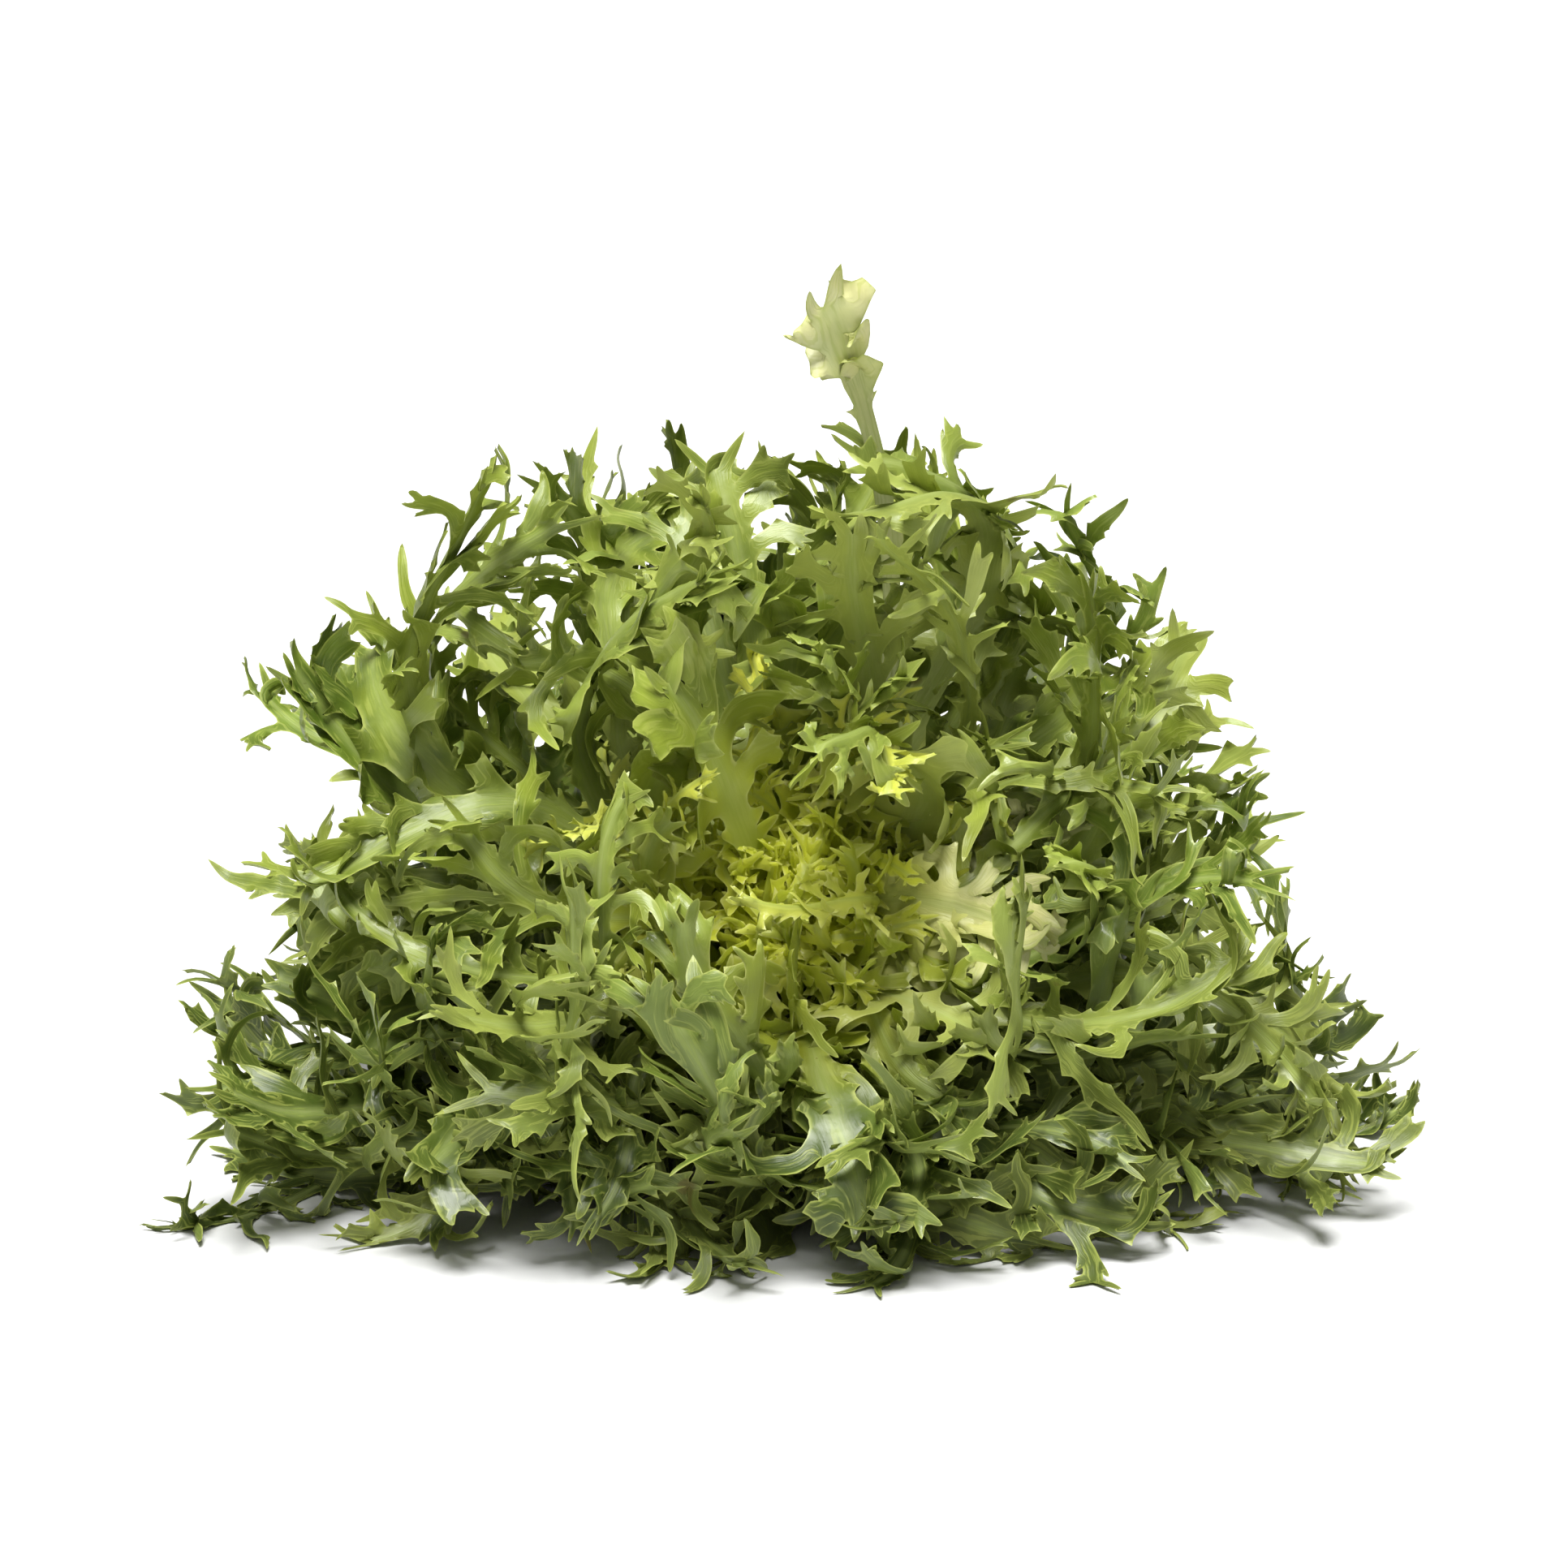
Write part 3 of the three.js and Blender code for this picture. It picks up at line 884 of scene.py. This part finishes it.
# The stem's side, as heights and radii: a rounded rim, a slight waist and the foot of the dome.
STEM_SIDE = ((0.4, 14.0), (1.0, 14.5), (2.2, 14.5), (10.0, 13.9), (19.0, 12.9), (26.8, 13.1))
DOME_FOOT = math.radians(125)
DOME_RINGS = 10
SIDE_RINGS = 22
FACE_RINGS = 14
FACE_SAG = 0.5  # the middle of the cut face is that much above the table
FACE_GRAIN = 0.12
FIBRES, KNOBS = 0.22, 0.5  # how far the fibres and the knobs stand out
SCARS = 7  # cut ends of trimmed leaves round the side
SCAR_HALF = math.radians(24)
SCAR_LOW, SCAR_RISE = 4.5, 2.6  # height of the first scar, and from each to the next
SCAR_LEDGE, SCAR_ARCH = 1.5, 2.5  # how far a scar stands out, and how much its edge is arched


def round_place(radius, turn, height):
    """A point that far from the stem's axis."""
    return Vector((radius * math.cos(turn), radius * math.sin(turn), height))


def stem_bump(height, turn):
    """How far the stem's side stands out: by its fibres and knobs, and by its scars."""
    fibres = FIBRES * noise.noise(round_place(9, turn, height * 0.03))
    knobs = KNOBS * noise.noise(round_place(1.5, turn, height * 0.16))
    scar = 0.0
    for k in range(SCARS):
        middle = k * GOLDEN_ANGLE
        at = SCAR_LOW + SCAR_RISE * k
        across = abs((turn - middle + math.pi) % (2 * math.pi) - math.pi) / SCAR_HALF
        if across < 1:
            ledge = height - at + SCAR_ARCH * across * across
            lip = blend(-2.5, -0.3, ledge) * (1 - blend(-0.3, 0.4, ledge))
            scar += SCAR_LEDGE * (1 - across**2) * lip
    return fibres + knobs, scar


def stem_rings():
    """The stem's rings from the middle of the cut face to the dome: radius, height, face share."""
    rings = []
    for k in range(1, FACE_RINGS + 1):
        share = k / FACE_RINGS
        rings.append((CUT_RADIUS * share, FACE_SAG * (1 - share**3), 1.0))
    heights = [height for height, _ in STEM_SIDE]
    radii = [radius for _, radius in STEM_SIDE]
    for height in [*heights[:2], *np.linspace(heights[2], heights[-1], SIDE_RINGS)]:
        rings.append((float(np.interp(height, heights, radii)), float(height), 0.0))
    for k in range(1, DOME_RINGS):
        angle = DOME_FOOT * (1 - k / DOME_RINGS)
        height = CROWN.z + CROWN_RADIUS * math.cos(angle)
        rings.append((CROWN_RADIUS * math.sin(angle), height, 0.0))
    return rings


def build_stem():
    """The stem as one closed skin, with its cut face on the table."""
    rings = stem_rings()
    axis = Vector((CROWN.x, CROWN.y, 0))
    points = [axis + Vector((0, 0, FACE_SAG))]
    paint = [(1.0, 0.0, 0.0)]
    for radius, height, face in rings:
        for side in range(STEM_SIDES):
            turn = 2 * math.pi * side / STEM_SIDES
            bump, scar = stem_bump(height, turn)
            rise, out = 0.0, radius
            if face:
                rise = FACE_GRAIN * abs(noise.noise(round_place(radius, turn, 3)))
            else:
                out += (bump + scar) * blend(0.2, 2.5, height)
            points.append(axis + round_place(out, turn, height + rise))
            paint.append((face, radius / CUT_RADIUS, min(1.0, scar)))
    points.append(axis + Vector((0, 0, STEM_HIGH.z)))
    paint.append((0.0, 0.0, 0.0))
    faces = []
    for side in range(STEM_SIDES):
        beside = (side + 1) % STEM_SIDES
        faces.append((0, 1 + beside, 1 + side))
        for k in range(len(rings) - 1):
            low = 1 + k * STEM_SIDES
            high = low + STEM_SIDES
            faces.append((low + side, low + beside, high + beside, high + side))
        faces.append((high + side, high + beside, len(points) - 1))
    mesh = bpy.data.meshes.new("stem_flesh")
    mesh.from_pydata((np.array(points) * MM).tolist(), [], faces)
    set_layer(mesh, "stem_paint", "FLOAT_VECTOR", "vector", np.array(paint))
    mesh.shade_smooth()
    mesh.materials.append(stem_finish())
    stem = bpy.data.objects.new("stem_flesh", mesh)
    bpy.context.scene.collection.objects.link(stem)
    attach(stem, BODY)
    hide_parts(STEM)


# --- Materials ------------------------------------------------------------------------------


class Wire:
    """A shader socket that arithmetic works on: an expression adds its own Math nodes."""

    def __init__(self, shop, socket):
        self.shop = shop
        self.socket = socket

    def math(self, operation, *others):
        """A Math node on this socket and the other values."""
        settings = {"operation": operation}
        return self.shop.node("ShaderNodeMath", settings, dict(enumerate((self, *others))))

    def __add__(self, other):
        return self.math("ADD", other)

    __radd__ = __add__

    def __sub__(self, other):
        return self.math("SUBTRACT", other)

    def __rsub__(self, other):
        return self.shop.node("ShaderNodeMath", {"operation": "SUBTRACT"}, {0: other, 1: self})

    def __mul__(self, other):
        return self.math("MULTIPLY", other)

    __rmul__ = __mul__

    def beside(self, output):
        """Another output of the same node."""
        return Wire(self.shop, self.socket.node.outputs[output])

    def step(self, low, high):
        """A smooth step from 0 at low to 1 at high."""
        values = {"Value": self, "From Min": low, "From Max": high}
        return self.shop.node("ShaderNodeMapRange", {"interpolation_type": "SMOOTHSTEP"}, values)


# The sockets of a Mix node that mixes colours.
MIX_SHARE, MIX_BASE, MIX_OVER, MIX_COLOUR = 0, 6, 7, 2


class Shop:
    """A material and its nodes."""

    def __init__(self, name):
        self.material = bpy.data.materials.new(name)
        self.material.use_nodes = True
        self.tree = self.material.node_tree
        self.tree.nodes.clear()

    def node(self, kind, settings=None, values=None, out=0):
        """Adds a node with its settings, then its socket values or wires, and gives one output."""
        made = self.tree.nodes.new(kind)
        for key, value in (settings or {}).items():
            setattr(made, key, value)
        for key, value in (values or {}).items():
            socket = made.inputs[key]
            if isinstance(value, Wire):
                self.tree.links.new(value.socket, socket)
            else:
                socket.default_value = value
        return Wire(self, made.outputs[out]) if made.outputs else made

    def layer(self, name, output):
        """What is painted on the points under that name."""
        return self.node("ShaderNodeAttribute", {"attribute_name": name}, None, output)

    def split(self, vector):
        """The three parts of a vector."""
        first = self.node("ShaderNodeSeparateXYZ", None, {0: vector})
        return first, first.beside(1), first.beside(2)

    def tint(self, share, base, over):
        """One colour over another, by a share."""
        values = {MIX_SHARE: share, MIX_BASE: base, MIX_OVER: over}
        return self.node("ShaderNodeMix", {"data_type": "RGBA"}, values, MIX_COLOUR)

    def noise(self, scale, detail=3.0, where=None):
        """Soft noise from 0 to 1, over the object unless another place is given."""
        place = where or self.node("ShaderNodeTexCoord", out="Object")
        values = {"Vector": place, "Scale": scale, "Detail": detail}
        return self.node("ShaderNodeTexNoise", None, values)

    def stretched(self, place, scale):
        """A place multiplied along each axis."""
        return self.node("ShaderNodeVectorMath", {"operation": "MULTIPLY"}, {0: place, 1: scale})

    def bump(self, height, strength, distance):
        """A normal that follows a height."""
        values = {"Strength": strength, "Distance": distance, "Height": height}
        return self.node("ShaderNodeBump", None, values)

    def finish(self, shader):
        """The material, with its shader wired to its output."""
        self.node("ShaderNodeOutputMaterial", None, {"Surface": shader})
        return self.material


def rgba(colour):
    """A colour with full opacity."""
    return (*colour, 1.0)


PAINTED_SHADE_HEIGHT = 0.1  # height, in metres, below which leaves get painted shade: a deeper green that stands in for the shade near the table
PALE_KINDS = ("heart_leaf", "pale_leaf")


def leaf_finish(kind):
    """Moist leaf: pale midrib, veined green blade with painted light and shade, lighter margins that
    are partly a painted highlight, a few brown specks.
    """
    name = f"{kind}_skin"
    if name in bpy.data.materials:
        return bpy.data.materials[name]
    colours = bpy.context.scene.endive_colours
    blade = {
        "outer_leaf": colours.outer_blade,
        "inner_leaf": colours.inner_blade,
        "heart_leaf": colours.heart_blade,
        "pale_leaf": colours.pale_blade,
    }[kind]
    shop = Shop(name)
    paint = shop.layer("leaf_paint", "Vector")
    under = paint.beside("Alpha")
    rib, reach, margin = shop.split(paint)
    place = shop.layer("leaf_place", "Vector")
    leaf_tone = shop.split(place)[2]
    tip = shop.layer("leaf_tip", "Fac")
    # Patterns: veins that run along the leaf, patches of tone and moisture that also pick painted
    # light and shade, and a fine mottle.
    veins = shop.noise(1.0, 2.0, shop.stretched(place, (4.5, 0.1, 9.0)))
    patches = shop.noise(45.0, 3.0)
    mottle = shop.noise(260.0, 3.0)
    # Blade: painted shaded and lit copies of its green in patches, painted shade near the table, and
    # blanched near the heart.
    # Painted light and shade: a shaded and a lit copy of the blade's green, mixed in patches.
    dark = (0.75, 0.75, 0.8) if kind in PALE_KINDS else (0.42, 0.5, 0.7)
    shade = rgba([part * share for part, share in zip(blade, dark)])
    light = rgba([min(1.0, part * 1.5 + 0.02) for part in blade])
    green = shop.tint(patches.step(0.3, 0.7), shade, light)
    green = shop.tint(mottle.step(0.35, 0.65) * 0.3, green, rgba(blade))
    height = shop.split(shop.node("ShaderNodeTexCoord", out="Object"))[2]
    # Painted shade: leaves are darkened towards the table, where the leaves above shade them.
    low = 1 - height.step(0.0, PAINTED_SHADE_HEIGHT)
    green = shop.tint(low * 0.9, green, rgba(colours.painted_shade_blade))
    heartness = 1 - (reach + 0.2 * patches).step(0.2, 0.75)
    green = shop.tint(heartness * (0.95 - 0.4 * leaf_tone), green, rgba(colours.heart_blade))
    # Lighter leaves, tips, margins (partly a painted highlight along the edge) and veins, and the
    # duller underside.
    young = rgba(colours.young_blade)
    edge = shop.tint(heartness, young, rgba(colours.pale_blade))
    green = shop.tint(leaf_tone.step(0.35, 1.0) * (0.5 - 0.3 * heartness), green, edge)
    green = shop.tint(tip.step(0.2, 1.0) * 0.35, green, edge)
    # Partly painted highlight: the margins are lightened as if their edges caught the light, on top
    # of their paler tissue.
    green = shop.tint(margin.step(0.6, 1.0) * 0.7, green, edge)
    green = shop.tint(veins.step(0.52, 0.66) * (0.4 - 0.3 * heartness), green, young)
    green = shop.tint(under * (0.45 - 0.35 * heartness), green, rgba(colours.underside))
    # Midrib with its streaks, and the brown specks.
    pale = shop.tint(veins.step(0.35, 0.65), rgba(colours.midrib), rgba(colours.midrib_vein))
    colour = shop.tint(rib.step(0.25, 1.0) * 0.5, green, pale)
    speck = shop.noise(75.0, 1.0).step(0.76, 0.8)
    colour = shop.tint(speck * 0.6, colour, rgba(colours.speck))
    bumps = veins * 0.6 + mottle * 0.6
    skin = shop.node(
        "ShaderNodeBsdfPrincipled",
        None,
        {
            "Base Color": colour,
            "Roughness": 0.22 + 0.25 * mottle + 0.12 * patches,
            "Normal": shop.bump(bumps, 0.4, 0.0007),
            "IOR": 1.42,
            "Coat Weight": patches.step(0.45, 0.6) * 0.28,
            "Coat Roughness": 0.12,
        },
    )
    # Light that shines through: green in most leaves, and yellow and stronger in the heart.
    green_glow = shop.node("ShaderNodeBsdfTranslucent", None, {"Color": rgba(colours.glow)})
    heart_glow = shop.node("ShaderNodeBsdfTranslucent", None, {"Color": rgba(colours.heart_glow)})
    glow = shop.node("ShaderNodeMixShader", None, {0: heartness, 1: green_glow, 2: heart_glow})
    thin = 0.13 + 0.5 * heartness
    return shop.finish(shop.node("ShaderNodeMixShader", None, {0: thin, 1: skin, 2: glow}))


def stem_finish():
    """Pale, moist stem: fibres up its side, browned scars, and rings on its cut face."""
    colours = bpy.context.scene.endive_colours
    shop = Shop("stem_skin")
    face, radius, scar = shop.split(shop.layer("stem_paint", "Vector"))
    where = shop.node("ShaderNodeTexCoord", out="Object")
    fibres = shop.noise(1.0, 3.0, shop.stretched(where, (900.0, 900.0, 25.0)))
    patches = shop.noise(140.0, 4.0)
    grain = shop.noise(900.0, 2.0)
    # The side: fibres, greener patches and browned scars.
    side = shop.tint(fibres.step(0.35, 0.65), rgba(colours.stem_flesh), rgba(colours.midrib_vein))
    side = shop.tint(patches.step(0.45, 0.75) * 0.5, side, rgba(colours.midrib))
    side = shop.tint((scar + 0.4 * patches).step(0.5, 1.1) * 0.8, side, rgba(colours.browned))
    # The cut face: a ring of vessels, dried patches, a dried rim and dark grains.
    ragged = radius + 0.12 * patches
    ring = ragged.step(0.55, 0.68) * (1 - ragged.step(0.78, 0.92))
    cut = shop.tint(ring * 0.6, rgba(colours.stem_flesh), rgba(colours.midrib_vein))
    cut = shop.tint(patches.step(0.42, 0.7) * 0.75, cut, rgba(colours.browned))
    cut = shop.tint(radius.step(0.86, 1.0) * 0.6, cut, rgba(colours.browned))
    cut = shop.tint(grain.step(0.6, 0.7) * 0.4, cut, rgba(colours.speck))
    skin = shop.node(
        "ShaderNodeBsdfPrincipled",
        None,
        {
            "Base Color": shop.tint(face, side, cut),
            "Roughness": 0.4 + 0.3 * patches,
            "Normal": shop.bump(fibres * 0.6 + grain * 0.4, 0.5, 0.0006),
        },
    )
    return shop.finish(skin)


def stage_finish():
    """Matt white board."""
    shop = Shop("stage_board")
    values = {"Base Color": (0.74, 0.74, 0.74, 1), "Roughness": 0.8}
    return shop.finish(shop.node("ShaderNodeBsdfPrincipled", None, values))


# --- Settings, operators and panel ------------------------------------------------------------


def colour_setting(name, description, default):
    """A colour of the leaves or the stem."""
    return FloatVectorProperty(
        name=name, description=description, subtype="COLOR", size=3, min=0, max=1, default=default
    )


def length_setting(name, description, default):
    """A length in metres."""
    return FloatProperty(name=name, description=description, default=default, unit="LENGTH")


def light_setting(name, description, default):
    """The strength of a light."""
    return FloatProperty(name=name, description=description, default=default, min=0)


class EndiveSizes(PropertyGroup):
    """The sizes of the leaves."""

    blade_thickness: length_setting("Blade thickness", "Thickness of a leaf's blade", 0.0007)


class EndiveColours(PropertyGroup):
    """The colours of the leaves and the stem."""

    outer_blade: colour_setting("Outer blade", "Blade of the outer leaves", (0.155, 0.22, 0.015))
    # Painted shade: the deeper green that stands in for the shade near the table.
    painted_shade_blade: colour_setting("Deep blade", "Darker green near the table", (0.045, 0.068, 0.013))
    inner_blade: colour_setting("Inner blade", "Blade of the inner leaves", (0.235, 0.29, 0.024))
    heart_blade: colour_setting("Heart blade", "Blade of the blanched heart", (0.75, 0.77, 0.065))
    pale_blade: colour_setting("Pale blade", "Blade of the palest leaves", (0.94, 0.88, 0.40))
    young_blade: colour_setting("Young blade", "Lighter green of young tissue", (0.52, 0.57, 0.13))
    underside: colour_setting("Underside", "Duller green under a leaf", (0.27, 0.34, 0.075))
    midrib: colour_setting("Midrib", "Pale flesh of the midribs", (0.46, 0.53, 0.18))
    midrib_vein: colour_setting("Midrib vein", "Greener streaks in the midribs", (0.33, 0.42, 0.10))
    stem_flesh: colour_setting("Stem flesh", "Flesh of the cut stem", (0.70, 0.68, 0.40))
    browned: colour_setting("Browned cut", "Where the cut has dried", (0.33, 0.17, 0.06))
    speck: colour_setting("Speck", "Small brown specks", (0.14, 0.09, 0.03))
    glow: colour_setting("Glow", "Light that shines through a leaf", (0.46, 0.60, 0.05))
    heart_glow: colour_setting("Heart glow", "Light through the heart", (0.95, 0.97, 0.30))


class EndiveStudio(PropertyGroup):
    """The camera and the lights."""

    camera_distance: length_setting("Camera distance", "From the head", 1.073)
    camera_angle: FloatProperty(
        name="Camera angle",
        description="Above the table",
        default=math.radians(14),
        subtype="ANGLE",
    )
    aim_height: length_setting("Aim height", "Height that the camera looks at", 0.096)
    key_strength: light_setting("Overhead light", "Strength of the overhead light", 5.4)
    front_strength: light_setting("Front light", "Strength of the light from the front", 0.3)
    fill_strength: light_setting("Fill light", "Strength of the light from all sides", 0.14)


class ENDIVE_OT_stem(Operator):
    """Build the cut stem"""

    bl_idname = "endive.stem"
    bl_label = "Cut Stem"

    def execute(self, context):
        build_stem()
        return {"FINISHED"}


class ENDIVE_OT_outer_leaves(Operator):
    """Grow the outer leaves that stand for solids"""

    bl_idname = "endive.outer_leaves"
    bl_label = "Outer Leaves"

    def execute(self, context):
        for name in ("table_leaf", "outer_leaf", "skirt_leaf", "rim_leaf"):
            grow_tier(name)
        return {"FINISHED"}


class ENDIVE_OT_inner_leaves(Operator):
    """Grow the inner leaves that stand for solids"""

    bl_idname = "endive.inner_leaves"
    bl_label = "Inner Leaves"

    def execute(self, context):
        for name in ("middle_leaf", "inner_leaf"):
            grow_tier(name)
        return {"FINISHED"}


class ENDIVE_OT_heart(Operator):
    """Grow the blanched heart"""

    bl_idname = "endive.heart"
    bl_label = "Heart"

    def execute(self, context):
        grow_tier("heart_leaf")
        grow_heart_frills()
        return {"FINISHED"}


class ENDIVE_OT_frills(Operator):
    """Grow the leaves that fill the head"""

    bl_idname = "endive.frills"
    bl_label = "Frills"

    def execute(self, context):
        for name in SPIRALS:
            grow_spiral(name)
        return {"FINISHED"}


class ENDIVE_OT_show_leaves(Operator):
    """Grow the broad and pale leaves on top"""

    bl_idname = "endive.show_leaves"
    bl_label = "Show Leaves"

    def execute(self, context):
        grow_show_leaves()
        return {"FINISHED"}


AIM_BEFORE_CROWN = -0.007
CAMERA_LENS, CAMERA_SENSOR = 100, 36
FLOOR_HALF = 6.0
FLOOR_CORNERS = ((-1, -1), (1, -1), (1, 1), (-1, 1))
KEY_TRAVEL, KEY_SPREAD = Vector((0.05, 0.18, -1.0)), math.radians(32)
FRONT_TRAVEL, FRONT_SPREAD = Vector((0.15, 0.8, -0.8)), math.radians(55)


def add_light(name, strength, spread, travel):
    """A large soft light far away: how strong, how wide in the sky, and which way it shines."""
    light = bpy.data.lights.new(name, "SUN")
    light.energy = strength
    light.angle = spread
    lamp = bpy.data.objects.new(name, light)
    lamp.rotation_euler = travel.to_track_quat("-Z", "Y").to_euler()
    bpy.context.scene.collection.objects.link(lamp)


class ENDIVE_OT_stage(Operator):
    """Set the floor, lights and camera"""

    bl_idname = "endive.stage"
    bl_label = "Stage"

    def execute(self, context):
        studio = context.scene.endive_studio
        mesh = bpy.data.meshes.new("stage_floor")
        corners = [(x * FLOOR_HALF, y * FLOOR_HALF, 0) for x, y in FLOOR_CORNERS]
        mesh.from_pydata(corners, [], [(0, 1, 2, 3)])
        mesh.materials.append(stage_finish())
        floor = bpy.data.objects.new("stage_floor", mesh)
        context.scene.collection.objects.link(floor)
        world = bpy.data.worlds.new("studio")
        context.scene.world = world
        world.use_nodes = True
        sky = world.node_tree.nodes["Background"].inputs
        sky["Color"].default_value = (1, 1, 1, 1)
        sky["Strength"].default_value = studio.fill_strength
        add_light("overhead_light", studio.key_strength, KEY_SPREAD, KEY_TRAVEL)
        add_light("front_light", studio.front_strength, FRONT_SPREAD, FRONT_TRAVEL)
        camera = bpy.data.objects.new("camera", bpy.data.cameras.new("camera"))
        camera.data.lens = CAMERA_LENS
        camera.data.sensor_width = CAMERA_SENSOR
        tilt = studio.camera_angle
        back = Vector((0, -math.cos(tilt), math.sin(tilt)))
        aim = Vector((CROWN.x * MM, CROWN.y * MM + AIM_BEFORE_CROWN, studio.aim_height))
        camera.location = aim + back * studio.camera_distance
        camera.rotation_euler = (-back).to_track_quat("-Z", "Y").to_euler()
        context.scene.collection.objects.link(camera)
        context.scene.camera = camera
        context.scene.view_settings.view_transform = "Standard"
        return {"FINISHED"}


class ENDIVE_PT_panel(Panel):
    """Lists the steps"""

    bl_idname = "ENDIVE_PT_panel"
    bl_label = "Curly Endive"
    bl_space_type = "VIEW_3D"
    bl_region_type = "UI"
    bl_category = "Endive"

    def draw(self, context):
        for operator in OPERATORS:
            self.layout.operator(operator.bl_idname)


OPERATORS = (
    ENDIVE_OT_stem,
    ENDIVE_OT_outer_leaves,
    ENDIVE_OT_inner_leaves,
    ENDIVE_OT_heart,
    ENDIVE_OT_frills,
    ENDIVE_OT_show_leaves,
    ENDIVE_OT_stage,
)
CLASSES = (EndiveSizes, EndiveColours, EndiveStudio, *OPERATORS, ENDIVE_PT_panel)


def register():
    for cls in CLASSES:
        bpy.utils.register_class(cls)
    bpy.types.Scene.endive_sizes = PointerProperty(type=EndiveSizes)
    bpy.types.Scene.endive_colours = PointerProperty(type=EndiveColours)
    bpy.types.Scene.endive_studio = PointerProperty(type=EndiveStudio)


def unregister():
    del bpy.types.Scene.endive_studio
    del bpy.types.Scene.endive_colours
    del bpy.types.Scene.endive_sizes
    for cls in reversed(CLASSES):
        bpy.utils.unregister_class(cls)


def main():
    """Builds every piece and the stage."""
    register()
    bpy.ops.endive.stem()
    bpy.ops.endive.outer_leaves()
    bpy.ops.endive.inner_leaves()
    bpy.ops.endive.heart()
    bpy.ops.endive.frills()
    bpy.ops.endive.show_leaves()
    bpy.ops.endive.stage()


if __name__ == "__main__":
    main()
